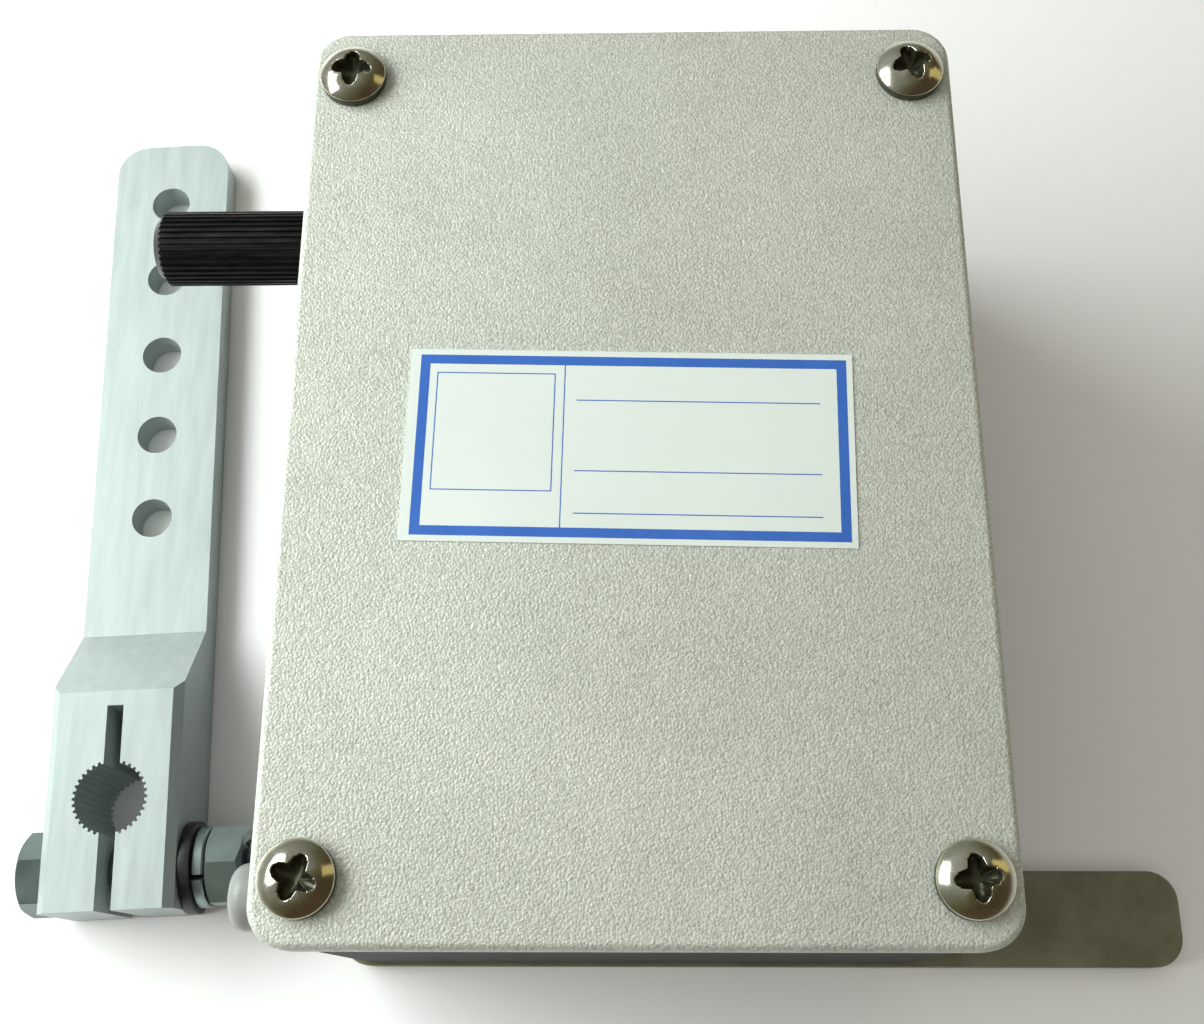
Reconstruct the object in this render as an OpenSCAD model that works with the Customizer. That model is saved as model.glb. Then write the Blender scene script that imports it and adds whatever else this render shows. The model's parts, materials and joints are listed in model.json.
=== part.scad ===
// Engine governor actuator: a sealed rotary electromagnet in a cast case, with its clamp lever laid beside it.
// Units are millimetres. The origin is the centre of the case's footprint on the floor.
// X runs to the right, Y to the back and Z up. The shaft leaves the case towards -X.

/* [Case] */
// width of the cover along X
cover_w = 80; // [72:1:120]
// length of the cover along Y
cover_l = 112; // [100:1:160]
// height from the floor to the cover's top face
total_h = 55; // [48:0.5:80]
// thickness of the cover plate
cover_t = 4; // [2.5:0.25:6]
// corner radius of the cover, case and mounting plate
corner_r = 4.5; // [4:0.5:12]
// rounding along the cover's top edge
cover_edge = 0.8; // [0.4:0.1:1.2]
// thickness of the cover gasket
gasket_t = 1; // [0.5:0.25:2]
// how far the case wall stands back from the cover's edge
case_inset = 0.5; // [0:0.1:2]
// thickness of the case walls
wall_t = 4; // [3:0.25:6]
// thickness of the case floor
floor_t = 4; // [3:0.25:6]
// distance of a cover screw from the cover's side edge
screw_in_x = 5.25; // [5:0.25:9]
// distance of a cover screw from the cover's front or back edge
screw_in_y = 7; // [5:0.25:10]
// radius of the corner pillars that take the screws
pillar_r = 5; // [4:0.25:7]

/* [Small screws] */
// thread diameter of the cover, plate and core screws
screw_d = 4; // [3:0.5:5]
// diameter of a pan head
pan_d = 8; // [6:0.25:10]
// height of a pan head
pan_h = 3; // [2:0.1:4]
// length of a cover screw below its head
cover_screw_l = 12; // [10:1:14]
// length of a plate screw with its head
plate_screw_l = 12; // [8:1:16]
// radial gap of a screw in its thread
thread_gap = 0.05; // [0.02:0.01:0.2]
// radial gap of a screw in a plain hole
hole_gap = 0.25; // [0.1:0.05:0.5]

/* [Mounting plate] */
// thickness of the steel plate under the case
plate_t = 4; // [2.5:0.25:6]
// length of the ear beyond the plate's right edge
ear_len = 34; // [10:1:60]
// width of the ear along Y
ear_w = 12.6; // [8:0.2:20]
// corner radius at the ear's end
ear_r = 4; // [1:0.5:6]
// spacing of the mounting holes along X
mount_dx = 54; // [48:1:58]
// spacing of the mounting holes along Y
mount_dy = 80; // [60:1:84]
// diameter of the mounting holes in the plate
mount_d = 6.6; // [5.5:0.1:9]
// diameter of the threaded holes in the case floor behind them
mount_tap_d = 5; // [4:0.1:7]
// depth of the threaded holes above the plate
mount_tap_l = 9; // [5:0.5:10]

/* [Output shaft] */
// crest diameter of the shaft
shaft_d = 10; // [8:0.25:12]
// place of the shaft's axis in front of the cover's back edge
shaft_back = 19.6; // [18.5:0.1:22]
// depth of the shaft's axis below the cover's top face
shaft_drop = 20; // [19.5:0.25:24]
// length of the shaft beyond the cover's edge
shaft_out = 24; // [10:0.5:40]
// number of serrations
teeth = 36; // [24:1:48]
// depth of the serrations
tooth_h = 0.35; // [0.2:0.05:0.5]
// half the width of a serration groove at the shaft's surface
groove_top = 0.31; // [0.24:0.01:0.33]
// half the width of a serration groove at its bottom
groove_low = 0.2; // [0.15:0.01:0.23]
// chamfer on the shaft's ends
shaft_cham = 1.2; // [0.4:0.1:2]
// length of the groove where the serrations run out at the wall
runout = 1.2; // [0.8:0.1:2]

/* [Bearings and seal] */
// outside diameter of a bearing
bearing_od = 22; // [19:0.5:24]
// width of a bearing
bearing_w = 6; // [5:0.25:8]
// radial height of a bearing ring
ring_h = 1.7; // [1.2:0.1:2]
// number of balls in a bearing
balls = 9; // [6:1:10]
// gap between the balls and the turning ring
ball_gap = 0.12; // [0.05:0.01:0.3]
// outside diameter of the shaft seal
seal_od = 18; // [15:0.5:20]
// width of the shaft seal
seal_w = 4; // [3:0.25:5]
// radial gap between the seal's lip and the shaft
seal_gap = 0.1; // [0.05:0.01:0.3]
// wall around a bearing seat
boss_wall = 3; // [2:0.25:4]
// metal between the case wall and a bearing
boss_web = 2.5; // [1.5:0.25:4]
// thickness of a retaining ring
clip_t = 1; // [0.8:0.1:1.5]

/* [Electromagnet] */
// thickness of the core and armature along X
stack_t = 28; // [20:0.5:34]
// right face of the core from the case's middle
stack_right = 8; // [4:0.5:8]
// radius of the armature's lobes
armature_r = 12.5; // [11:0.1:13]
// radius of the armature between its lobes
hub_r = 8; // [7:0.1:9]
// half the angle of an armature lobe
lobe_half = 24; // [15:1:28]
// air gap between the lobes and the poles
air_gap = 0.4; // [0.3:0.05:0.8]
// height of the limb that carries the coil
limb_h = 12; // [8:0.5:13]
// depth of the limb's middle below the shaft's axis
limb_drop = 2.2; // [0:0.1:4]
// thickness of the yoke along Y
yoke_t = 10; // [9.5:0.5:12]
// room for the leads between the yoke and the coil
coil_room = 4; // [3:0.25:6]
// coil's distance from the shaft's axis
coil_away = 22.4; // [21:0.1:24]
// length of the coil former along Y
coil_l = 34; // [20:1:36]
// depth of the winding around its former
coil_h = 5.6; // [3:0.1:5.8]
// wall of the coil former
former_t = 1; // [0.8:0.1:1.2]
// gap between the former and the limb
former_gap = 0.2; // [0.1:0.05:0.3]
// travel of the shaft in degrees
travel = 30; // [15:1:36]

/* [Stop collar and return spring] */
// radius of the stop collar
collar_r = 9.5; // [9:0.1:11]
// thickness of the stop collar
collar_t = 3.5; // [2.5:0.25:4]
// reach of the collar's lug from the axis
lug_r = 17; // [14:0.5:18]
// width of the lug
lug_w = 6; // [4:0.25:8]
// gap between the lug and a post at the end of the travel
stop_gap = 0.3; // [0.2:0.05:1]
// wire diameter of the return spring
wire_d = 1.6; // [1:0.1:1.8]
// mean radius of the return spring
spring_r = 7.4; // [6.8:0.1:7.6]
// least gap between the return spring's coils
wire_gap = 0.3; // [0.1:0.05:1]

/* [Cable gland] */
// outside diameter of the gland
gland_d = 8.2; // [7:0.1:12]
// length of the gland beyond the cover's edge
gland_out = 9.5; // [4:0.5:16]
// place of the gland's axis behind the cover's front edge
gland_in = 7.4; // [6.5:0.1:9]
// height of the gland's axis above the floor
gland_z = 25; // [22:0.5:28]
// bore of the gland
gland_bore = 4.4; // [4.2:0.1:4.8]
// diameter of a coil lead
lead_d = 1.8; // [1:0.1:1.9]

/* [Lever] */
// width of the lever
lever_w = 18; // [16:0.5:24]
// thickness of the arm
arm_t = 5; // [3:0.25:8]
// thickness of the clamp block
block_t = 15; // [13:0.5:20]
// clamp end's distance from the clamp bolt's axis
clamp_end = 5.7; // [5:0.1:9]
// end of the block's flat top from the bore's axis
block_back = 14.5; // [13:0.5:18]
// length of the ramp down to the arm
ramp_l = 10.5; // [4:0.5:12]
// first link hole's distance from the bore's axis
hole_first = 43; // [36:0.5:60]
// spacing of the link holes
hole_step = 13.5; // [10:0.5:16]
// number of link holes
hole_count = 5; // [5:1:5]
// diameter of a link hole
hole_d = 6; // [4:0.1:8]
// metal beyond the last hole's centre
arm_tip = 11; // [7:0.5:16]
// corner radius at the arm's end
arm_r = 5; // [2:0.5:8]
// chamfer along the block's top edges
block_cham = 1.2; // [0.5:0.1:2]
// width of the clamp slot
slot_w = 2.2; // [1:0.1:3]
// reach of the slot behind the bore's axis
slot_back = 12.5; // [8:0.5:13]
// radial gap between the lever's serrations and the shaft's
clamp_gap = 0.05; // [0.02:0.01:0.2]
// metal between the bore and the clamp bolt's hole
bolt_wall = 0.6; // [0.4:0.1:3]
// thread diameter of the clamp bolt
bolt_d = 6; // [5:0.5:6]
// width across flats of the bolt's head and nut
hex_af = 10; // [8:0.5:11]
// height of the bolt's head
head_h = 4; // [3:0.25:5]
// height of the nut
nut_h = 5; // [4:0.25:6]
// length of the bolt below its head
bolt_l = 35; // [33:1:38]
// thickness of the flat and lock washers
washer_t = 1.6; // [1:0.1:2]
// gap between the clamp bolt's end and the case wall
lever_gap = 4.4; // [1:0.1:20]
// place of the lever's bore behind the cover's front edge
lever_in = 21; // [16:0.1:36]
// turn of the lever on the floor
lever_turn = 2.8; // [0:0.1:4]

/* [Hidden] */
$fn = 64;
eps = 0.01;
case_w = cover_w - 2 * case_inset;
case_l = cover_l - 2 * case_inset;
case_top = total_h - cover_t - gasket_t;
case_h = case_top - plate_t;
case_r = corner_r - case_inset;
floor_z = plate_t + floor_t;
in_w = case_w - 2 * wall_t;
in_l = case_l - 2 * wall_t;
in_r = 3;
wall_x = case_w / 2;
screw_x = cover_w / 2 - screw_in_x;
screw_y = cover_l / 2 - screw_in_y;
screw_r = screw_d / 2;
tap_r = screw_r + thread_gap;
hole_r = screw_r + hole_gap;
tap_spare = 2;
shaft_r = shaft_d / 2;
shaft_y = cover_l / 2 - shaft_back;
shaft_z = total_h - shaft_drop;
tip_x = -cover_w / 2 - shaft_out;
seat_r = bearing_od / 2;
boss_r = seat_r + boss_wall;
boss_in = wall_x - wall_t - boss_web - bearing_w;
seat_x = boss_in + bearing_w;
web_r = seal_od / 2 - 2;
pitch_r = (shaft_r + seat_r) / 2;
ball_r = (seat_r - shaft_r) / 2 - ring_h + 0.6;
stack_left = stack_right - stack_t;
stack_mid = stack_right - stack_t / 2;
pole_r = armature_r + air_gap;
limb_bottom = shaft_z - limb_drop - limb_h / 2;
limb_top = limb_bottom + limb_h;
foot_top = limb_bottom - coil_h - 2 * former_t - former_gap - 1;
foot_h = foot_top - floor_z;
coil_back = shaft_y - coil_away;
coil_front = coil_back - coil_l;
yoke_front = -coil_front + coil_room + yoke_t;
collar_x = stack_right + 1;
spring_x = collar_x + collar_t + 1.4;
spring_end = boss_in - clip_t - 1.6;
turns = floor((spring_end - spring_x) / (wire_d + wire_gap));
lug_rest = travel / 2;
lug_reach = lug_r * sin(lug_rest) + lug_w / 2 * cos(lug_rest);
post_t = 4;
post_h = shaft_z - floor_z - lug_r * cos(lug_rest) + 5;
gland_y = -cover_l / 2 + gland_in;
gland_r = gland_d / 2;
gland_neck = gland_bore / 2 + 0.8;
lead_r = lead_d / 2;
lead_end = -wall_x + wall_t + 1;
bolt_r = bolt_d / 2;
bolt_front = shaft_r + clamp_gap + bolt_wall + bolt_r + hole_gap;
block_front = bolt_front + clamp_end;
lever_x = wall_x + lever_gap + bolt_l - lever_w / 2;
lever_y = cover_l / 2 - lever_in;
bolt_z = block_t / 2;
arm_end = hole_first + (hole_count - 1) * hole_step + arm_tip;
hex_r = hex_af / 2 / cos(30);

// a rectangle with round corners
module round_rect(w, l, r) {
    square([w - 2 * r, l], center = true);
    square([w, l - 2 * r], center = true);
    for (x = [-1, 1])
        for (y = [-1, 1])
            translate([x * (w / 2 - r), y * (l / 2 - r)])
                circle(r);
}

// one copy at each corner screw
module at_screws() {
    for (x = [-1, 1])
        for (y = [-1, 1])
            translate([x * screw_x, y * screw_y, 0])
                children();
}

// one copy at each mounting hole
module at_mounts() {
    for (x = [-1, 1])
        for (y = [-1, 1])
            translate([x * mount_dx / 2, y * mount_dy / 2, 0])
                children();
}

// moves to the shaft's axis, with the child's Z along X
module on_shaft(x) {
    translate([x, shaft_y, shaft_z])
        rotate([0, 90, 0])
            children();
}

// turns a drawing of Y and Z so that it is extruded along X from x0 to x1
module along_x(x0, x1) {
    translate([x0, 0, 0])
        rotate([90, 0, 90])
            linear_extrude(x1 - x0)
                children();
}

// a straight round bar between two points
module rod(p, q, r) {
    v = q - p;
    h = norm(v);
    translate(p)
        rotate([0, acos(v[2] / h), atan2(v[1], v[0])])
            cylinder(h = h, r = r, $fn = 24);
}

// a cross recess cut downwards from z = 0
module cross_recess(size, deep) {
    for (a = [45, 135])
        rotate([0, 0, a])
            translate([-size / 2, -size / 10, -deep])
                cube([size, size / 5, deep + 1]);
}

// half-section of a pan head that sits on z = 0: a short rim and a dome
module pan_profile() {
    rim = pan_h * 0.42;
    dome_h = pan_h - rim;
    dome_r = (dome_h * dome_h + pan_d * pan_d / 4) / (2 * dome_h);
    intersection() {
        square([pan_d / 2, pan_h]);
        translate([0, pan_h - dome_r])
            circle(dome_r);
    }
}

// a pan-head screw with the underside of its head at z = 0
module pan_screw(length) {
    difference() {
        union() {
            rotate_extrude()
                pan_profile();
            translate([0, 0, -length])
                cylinder(h = length + 0.1, r = screw_r);
        }
        translate([0, 0, pan_h])
            cross_recess(pan_d * 0.56, pan_h * 0.62);
    }
}

// cast box with bearing bosses, screw pillars, stop posts and a spring post
module case_shell() {
    difference() {
        translate([0, 0, plate_t])
            linear_extrude(case_h)
                round_rect(case_w, case_l, case_r);
        translate([0, 0, floor_z])
            linear_extrude(case_h)
                round_rect(in_w, in_l, in_r);
    }
}

module case_bosses() {
    translate([0, 0, plate_t])
        linear_extrude(case_h)
            intersection() {
                round_rect(case_w, case_l, case_r);
                for (x = [-1, 1])
                    for (y = [-1, 1])
                        translate([x * screw_x, y * screw_y])
                            circle(pillar_r);
            }
    at_mounts()
        translate([0, 0, plate_t])
            cylinder(h = mount_tap_l + 3, r = mount_tap_d / 2 + 3);
    on_shaft(-wall_x + 1)
        cylinder(h = wall_x - 1 - boss_in, r = boss_r);
    on_shaft(boss_in)
        cylinder(h = wall_x - 1 - boss_in, r = boss_r);
    for (s = [-1, 1])
        translate([collar_x, shaft_y + s * (lug_reach + stop_gap + post_t / 2) - post_t / 2, floor_z - 1])
            cube([collar_t, post_t, post_h + 1]);
    translate([spring_end - 2, shaft_y + spring_r + wire_d / 2 + 0.1, floor_z - 1])
        cube([4, post_t, shaft_z - spring_r * 1.6 - floor_z + 1]);
}

module case_cuts() {
    at_screws()
        translate([0, 0, case_top + gasket_t + cover_t - cover_screw_l - tap_spare])
            cylinder(h = cover_screw_l, r = tap_r);
    at_screws()
        translate([0, 0, plate_t - 1])
            cylinder(h = plate_screw_l - plate_t + tap_spare + 1, r = tap_r);
    at_mounts()
        translate([0, 0, plate_t - 1])
            cylinder(h = mount_tap_l + 1, r = mount_tap_d / 2);
    on_shaft(-seat_x)
        cylinder(h = bearing_w + 1, r = seat_r);
    on_shaft(-wall_x - 1)
        cylinder(h = wall_x, r = web_r);
    on_shaft(-wall_x - 1)
        cylinder(h = seal_w + 1, r = seal_od / 2);
    on_shaft(boss_in - 1)
        cylinder(h = bearing_w + 1, r = seat_r);
    on_shaft(seat_x - 1)
        cylinder(h = 2.5, r = web_r);
    translate([-wall_x - 1, gland_y, gland_z])
        rotate([0, 90, 0])
            cylinder(h = wall_x - screw_x + pillar_r + 3, r = gland_neck);
    for (x = [-1, 1])
        for (y = [coil_back + 7.5, -yoke_front + yoke_t / 2])
            translate([stack_mid + x * stack_t / 4, y, plate_t - 1])
                cylinder(h = floor_t + 2, r = tap_r);
}

module case() {
    color([0.36, 0.36, 0.37])
        difference() {
            union() {
                case_shell();
                case_bosses();
            }
            case_cuts();
        }
}

// half-section of the cover's rim: square below and round at the top
module rim_profile() {
    square([corner_r - cover_edge, cover_t]);
    square([corner_r, cover_t - cover_edge]);
    intersection() {
        translate([corner_r - cover_edge, cover_t - cover_edge])
            circle(cover_edge);
        square([corner_r, cover_t]);
    }
}

// flat cast plate with a rounded top edge
module cover() {
    mid_x = cover_w / 2 - corner_r;
    mid_y = cover_l / 2 - corner_r;
    color([0.72, 0.73, 0.70])
        translate([0, 0, total_h - cover_t])
            difference() {
                union() {
                    translate([-mid_x, -mid_y, 0])
                        cube([2 * mid_x, 2 * mid_y, cover_t]);
                    for (a = [0, 180])
                        rotate([0, 0, a]) {
                            translate([mid_x, mid_y, 0])
                                rotate([90, 0, 0])
                                    linear_extrude(2 * mid_y)
                                        rim_profile();
                            rotate([0, 0, 90])
                                translate([mid_y, mid_x, 0])
                                    rotate([90, 0, 0])
                                        linear_extrude(2 * mid_x)
                                            rim_profile();
                            translate([mid_x, mid_y, 0])
                                rotate_extrude(angle = 90)
                                    rim_profile();
                            translate([-mid_x, mid_y, 0])
                                rotate([0, 0, 90])
                                    rotate_extrude(angle = 90)
                                        rim_profile();
                        }
                }
                at_screws()
                    translate([0, 0, -1])
                        cylinder(h = cover_t + 2, r = hole_r);
            }
}

// flat gasket between the case and the cover
module cover_gasket() {
    color([0.12, 0.12, 0.12])
        translate([0, 0, case_top])
            linear_extrude(gasket_t)
                difference() {
                    round_rect(case_w, case_l, case_r);
                    difference() {
                        round_rect(in_w, in_l, in_r);
                        for (x = [-1, 1])
                            for (y = [-1, 1])
                                translate([x * screw_x, y * screw_y])
                                    circle(pillar_r);
                    }
                    for (x = [-1, 1])
                        for (y = [-1, 1])
                            translate([x * screw_x, y * screw_y])
                                circle(hole_r);
                }
}

module cover_screws() {
    color([0.80, 0.74, 0.58])
        at_screws()
            translate([0, 0, total_h])
                pan_screw(cover_screw_l);
}

// steel plate under the case, with an ear beyond the front right corner
module mounting_plate() {
    front = -cover_l / 2;
    end = cover_w / 2 + ear_len;
    color([0.33, 0.32, 0.29])
        difference() {
            linear_extrude(plate_t) {
                round_rect(cover_w, cover_l, corner_r);
                translate([0, front])
                    square([end - ear_r, ear_w]);
                translate([0, front + ear_r])
                    square([end, ear_w - 2 * ear_r]);
                for (y = [front + ear_r, front + ear_w - ear_r])
                    translate([end - ear_r, y])
                        circle(ear_r);
            }
            at_mounts()
                translate([0, 0, -1])
                    cylinder(h = plate_t + 2, r = mount_d / 2);
            at_screws() {
                translate([0, 0, -1])
                    cylinder(h = plate_t + 2, r = hole_r);
                translate([0, 0, -eps])
                    cylinder(h = screw_r + 0.2, r1 = screw_d + 0.2, r2 = screw_r);
            }
        }
}

// countersunk screws that hold the plate to the pillars
module plate_screws() {
    color([0.55, 0.55, 0.54])
        at_screws()
            difference() {
                union() {
                    translate([0, 0, 0.1])
                        cylinder(h = screw_r - 0.1, r1 = screw_d - 0.1, r2 = screw_r);
                    translate([0, 0, 1])
                        cylinder(h = plate_screw_l - 1, r = screw_r);
                }
                mirror([0, 0, 1])
                    translate([0, 0, -0.1])
                        cross_recess(screw_d, 1.4);
            }
}

// outline of the serrated shaft, or with a gap the outline of the hole that fits it
module serrated(gap) {
    flank = (groove_top - groove_low) / tooth_h;
    low = groove_low - gap;
    out = shaft_r + gap + 0.3;
    union() {
        circle(shaft_r - tooth_h + gap);
        difference() {
            circle(shaft_r + gap);
            for (i = [0 : teeth - 1])
                rotate((i + 0.5) * 360 / teeth)
                    polygon([
                        [shaft_r - 2 * tooth_h, -low], [shaft_r - tooth_h, -low],
                        [out, -low - flank * (out - shaft_r + tooth_h)],
                        [out, low + flank * (out - shaft_r + tooth_h)],
                        [shaft_r - tooth_h, low], [shaft_r - 2 * tooth_h, low]
                    ]);
        }
    }
}

// serrated output shaft
module output_shaft() {
    plain = -wall_x - 0.5;
    toothed = plain - runout;
    right = seat_x;
    color([0.10, 0.10, 0.10])
        difference() {
            union() {
                on_shaft(tip_x)
                    intersection() {
                        linear_extrude(toothed - tip_x)
                            serrated(0);
                        union() {
                            cylinder(h = shaft_cham, r1 = shaft_r - shaft_cham, r2 = shaft_r);
                            translate([0, 0, shaft_cham])
                                cylinder(h = plain - tip_x, r = shaft_r + 1);
                        }
                    }
                on_shaft(toothed - 0.1)
                    cylinder(h = runout + 0.2, r = shaft_r - tooth_h - 0.1);
                on_shaft(plain)
                    cylinder(h = right - plain, r = shaft_r);
            }
            for (x = [-boss_in, boss_in - clip_t])
                on_shaft(x)
                    difference() {
                        cylinder(h = clip_t, r = shaft_r + 1);
                        translate([0, 0, -1])
                            cylinder(h = clip_t + 2, r = shaft_r - 0.3);
                    }
            translate([stack_mid, shaft_y, shaft_z - hub_r - 1])
                cylinder(h = 2 * hub_r + 2, r = 1.5);
        }
}

// lip seal in the left wall
module shaft_seal() {
    color([0.09, 0.09, 0.10])
        on_shaft(-wall_x)
            difference() {
                cylinder(h = seal_w, r = seal_od / 2);
                translate([0, 0, -1])
                    cylinder(h = seal_w + 2, r = shaft_r + seal_gap);
            }
}

// rings that keep the shaft between its bearings
module retaining_rings() {
    color([0.30, 0.30, 0.31])
        for (x = [-boss_in, boss_in - clip_t])
            on_shaft(x)
                difference() {
                    cylinder(h = clip_t, r = shaft_r + 1.5);
                    translate([0, 0, -1])
                        cylinder(h = clip_t + 2, r = shaft_r - 0.3);
                    translate([0, -1.5, -1])
                        cube([shaft_d, 3, clip_t + 2]);
                }
}

module bearing_outer() {
    rotate_extrude()
        difference() {
            translate([seat_r - ring_h, 0])
                square([ring_h, bearing_w]);
            translate([pitch_r, bearing_w / 2])
                circle(ball_r + 0.02);
        }
}

module bearing_inner() {
    rotate_extrude()
        difference() {
            translate([shaft_r, 0])
                square([ring_h, bearing_w]);
            translate([pitch_r, bearing_w / 2])
                circle(ball_r + ball_gap);
        }
}

module bearing_balls() {
    for (i = [0 : balls - 1])
        rotate([0, 0, i * 360 / balls])
            translate([pitch_r, 0, bearing_w / 2])
                sphere(ball_r);
}

module bearing_left_outer() {
    color([0.62, 0.63, 0.64])
        on_shaft(-seat_x)
            bearing_outer();
}

module bearing_left_inner() {
    color([0.62, 0.63, 0.64])
        on_shaft(-seat_x)
            bearing_inner();
}

module bearing_left_balls() {
    color([0.75, 0.76, 0.78])
        on_shaft(-seat_x)
            bearing_balls();
}

module bearing_right_outer() {
    color([0.62, 0.63, 0.64])
        on_shaft(boss_in)
            bearing_outer();
}

module bearing_right_inner() {
    color([0.62, 0.63, 0.64])
        on_shaft(boss_in)
            bearing_inner();
}

module bearing_right_balls() {
    color([0.75, 0.76, 0.78])
        on_shaft(boss_in)
            bearing_balls();
}

// a lobe of the armature that points along an angle in the Y and Z plane
module lobe(a) {
    far = armature_r * 2;
    intersection() {
        circle(armature_r);
        rotate(a)
            polygon([[0, 0], [far * cos(lobe_half), -far * sin(lobe_half)], [far * cos(lobe_half), far * sin(lobe_half)]]);
    }
}

// two-lobed rotor that turns into line with the poles
module armature() {
    color([0.42, 0.41, 0.40])
        difference() {
            along_x(stack_left, stack_right)
                translate([shaft_y, shaft_z])
                    difference() {
                        union() {
                            circle(hub_r);
                            lobe(180 - travel);
                            lobe(270 - travel);
                        }
                        circle(shaft_r);
                    }
            translate([stack_mid, shaft_y, shaft_z - hub_r * 2])
                cylinder(h = hub_r * 4, r = 1.5);
        }
}

// cross pin through the armature and the shaft
module armature_pin() {
    color([0.45, 0.45, 0.46])
        translate([stack_mid, shaft_y, shaft_z - hub_r + 0.4])
            cylinder(h = 2 * hub_r - 0.8, r = 1.5);
}

// laminated core with a pole in front of the armature and one under it
module magnet_core() {
    color([0.38, 0.37, 0.36])
        difference() {
            along_x(stack_left, stack_right)
                difference() {
                    union() {
                        translate([-yoke_front, floor_z])
                            square([yoke_front + shaft_y + 7.5, foot_h]);
                        translate([-yoke_front, floor_z])
                            square([yoke_t, limb_top - floor_z]);
                        translate([-yoke_front, limb_bottom])
                            square([yoke_front + shaft_y - 8, limb_h]);
                        translate([shaft_y - 5, floor_z])
                            square([12.5, shaft_z - floor_z - 9]);
                    }
                    translate([shaft_y, shaft_z])
                        circle(pole_r);
                }
            for (x = [-1, 1]) {
                translate([stack_mid + x * stack_t / 4, coil_back + 7.5, floor_z - 1])
                    cylinder(h = foot_h + 2, r = hole_r);
                translate([stack_mid + x * stack_t / 4, -yoke_front + yoke_t / 2, floor_z - 1])
                    cylinder(h = limb_top, r = hole_r);
            }
        }
}

// outline around the coil limb in the X and Z plane, grown by g
module limb_outline(g) {
    translate([stack_mid, (limb_bottom + limb_top) / 2])
        square([stack_t + 2 * g, limb_h + 2 * g], center = true);
}

// extrudes an X and Z outline along Y
module along_y(y0, y1) {
    translate([0, y1, 0])
        rotate([90, 0, 0])
            linear_extrude(y1 - y0)
                children();
}

// former that carries the winding
module coil_former() {
    tube = former_gap + former_t;
    color([0.16, 0.15, 0.14])
        difference() {
            union() {
                along_y(coil_front, coil_back)
                    limb_outline(tube);
                for (y = [coil_front, coil_back - former_t])
                    along_y(y, y + former_t)
                        limb_outline(tube + coil_h + former_t * 0.8);
            }
            along_y(coil_front - 1, coil_back + 1)
                limb_outline(former_gap);
        }
}

// copper winding
module coil_winding() {
    tube = former_gap + former_t;
    color([0.62, 0.30, 0.14])
        along_y(coil_front + former_t, coil_back - former_t)
            difference() {
                translate([stack_mid, (limb_bottom + limb_top) / 2])
                    round_rect(stack_t + 2 * (tube + coil_h), limb_h + 2 * (tube + coil_h), 4);
                limb_outline(tube);
            }
}

// screws through the core's foot
module core_screws() {
    color([0.60, 0.60, 0.59])
        for (x = [-1, 1])
            translate([stack_mid + x * stack_t / 4, coil_back + 7.5, foot_top])
                pan_screw(foot_h + floor_t - 0.2);
}

// long screws through the core's yoke
module yoke_screws() {
    color([0.60, 0.60, 0.59])
        for (x = [-1, 1])
            translate([stack_mid + x * stack_t / 4, -yoke_front + yoke_t / 2, limb_top])
                pan_screw(limb_top - plate_t - 0.2);
}

// collar that stops the shaft and takes the spring's end
module stop_collar() {
    color([0.50, 0.49, 0.47])
        on_shaft(collar_x)
            difference() {
                union() {
                    cylinder(h = collar_t, r = collar_r);
                    rotate([0, 0, -lug_rest])
                        translate([0, -lug_w / 2, 0])
                            cube([lug_r, lug_w, collar_t]);
                }
                translate([0, 0, -1])
                    cylinder(h = collar_t + 2, r = shaft_r);
                translate([0, spring_r, -1])
                    cylinder(h = collar_t + 2, r = wire_d / 2 + 0.1);
            }
}

// points around the spring's wire at each step: helix, then a straight leg
function spring_ring(x, a, drop) = [
    for (k = [0 : 9])
        let (u = k * 36, rad = spring_r + wire_d / 2 * cos(u))
            [x + wire_d / 2 * sin(u), rad * cos(a), rad * sin(a) - drop]
];

// torsion spring around the shaft: an end in the collar and a leg against the case's post
module return_spring() {
    steps = 24 * turns;
    pts = [
        for (i = [0 : steps])
            each spring_ring(spring_x + (spring_end - spring_x) * i / steps, 360 * turns - i * 15, 0),
        each spring_ring(spring_end, 0, spring_r * 2.2)
    ];
    rings = steps + 2;
    faces = concat(
        [
            for (i = [0 : rings - 2])
                for (k = [0 : 9])
                    [(i + 1) * 10 + k, (i + 1) * 10 + (k + 1) % 10, i * 10 + (k + 1) % 10, i * 10 + k]
        ],
        [[for (k = [0 : 9]) k]],
        [[for (k = [0 : 9]) rings * 10 - 1 - k]]
    );
    color([0.35, 0.35, 0.36])
        translate([0, shaft_y, shaft_z]) {
            polyhedron(points = pts, faces = faces);
            translate([collar_x + 0.5, spring_r, 0])
                rotate([0, 90, 0])
                    cylinder(h = spring_x - collar_x - 0.4, r = wire_d / 2 - 0.02, $fn = 20);
            translate([spring_x, spring_r, 0])
                sphere(wire_d / 2 + 0.02, $fn = 20);
        }
}

// gland in the left wall, with a rounded end
module cable_gland() {
    reach = gland_out + case_inset;
    soft = 2;
    color([0.74, 0.75, 0.75])
        translate([-wall_x, gland_y, gland_z])
            rotate([0, -90, 0])
                difference() {
                    union() {
                        rotate_extrude() {
                            square([gland_r, reach - soft]);
                            square([gland_r - soft, reach]);
                            intersection() {
                                translate([gland_r - soft, reach - soft])
                                    circle(soft);
                                square([gland_r, reach]);
                            }
                        }
                        translate([0, 0, -wall_t])
                            cylinder(h = wall_t + 1, r = gland_neck - 0.05);
                    }
                    translate([0, 0, -wall_t - 1])
                        cylinder(h = reach + wall_t + 2, r = gland_bore / 2);
                }
}

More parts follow.
